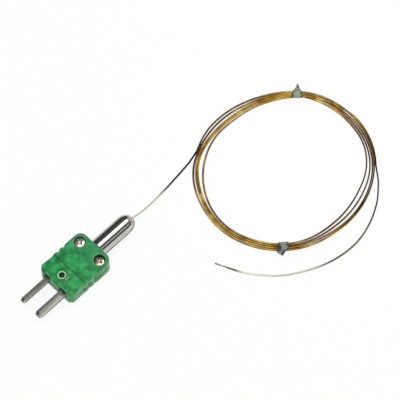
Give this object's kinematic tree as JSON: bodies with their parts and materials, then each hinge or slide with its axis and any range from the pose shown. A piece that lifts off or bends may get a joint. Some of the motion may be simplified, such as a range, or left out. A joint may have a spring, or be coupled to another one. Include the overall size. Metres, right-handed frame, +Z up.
{
  "type": "thermocouple temperature probe",
  "caption": "Fine-wire exposed-junction thermocouple with film insulation, wound in a tied loop, on a miniature flat-pin plug with a metal strain-relief tube.",
  "frame": {"origin": "centre of the plug housing's flat underside, which rests on the table", "axes": "+X from the pins to the wire along the plug, +Y towards the positive pin, +Z up out of the lid"},
  "size_m": [0.1418, 0.0724, 0.0082],
  "materials": {
    "housing_plastic": "moulded green, fine texture",
    "pin_alloy": "bare thermocouple alloy, satin",
    "plated_steel": "nickel plated",
    "bare_conductor": "bare thermocouple wire, drawn",
    "insert_brass": "turned",
    "polished_tube": "polished stainless steel",
    "potting_resin": "cast black resin",
    "film_insulation": "wrapped amber film",
    "tie_plastic": "grey-green ribbon over a wire core"
  },
  "bodies": {
    "root": {"housing_base": "housing_plastic", "housing_lid": "housing_plastic", "pin_positive": "pin_alloy", "pin_negative": "pin_alloy", "terminal_screw_positive": "plated_steel", "terminal_screw_negative": "plated_steel", "terminal_washer_positive": "plated_steel", "terminal_washer_negative": "plated_steel", "conductor_positive": "bare_conductor", "conductor_negative": "bare_conductor", "lid_screw_left": "plated_steel", "lid_screw_right": "plated_steel", "lid_insert_left": "insert_brass", "lid_insert_right": "insert_brass", "relief_tube": "polished_tube", "relief_potting": "potting_resin", "lead_wire": "film_insulation", "wire_coil": "film_insulation", "tail_wire": "film_insulation", "junction_bead": "bare_conductor", "tie_top": "tie_plastic", "tie_bottom": "tie_plastic"}
  },
  "joints": []
}
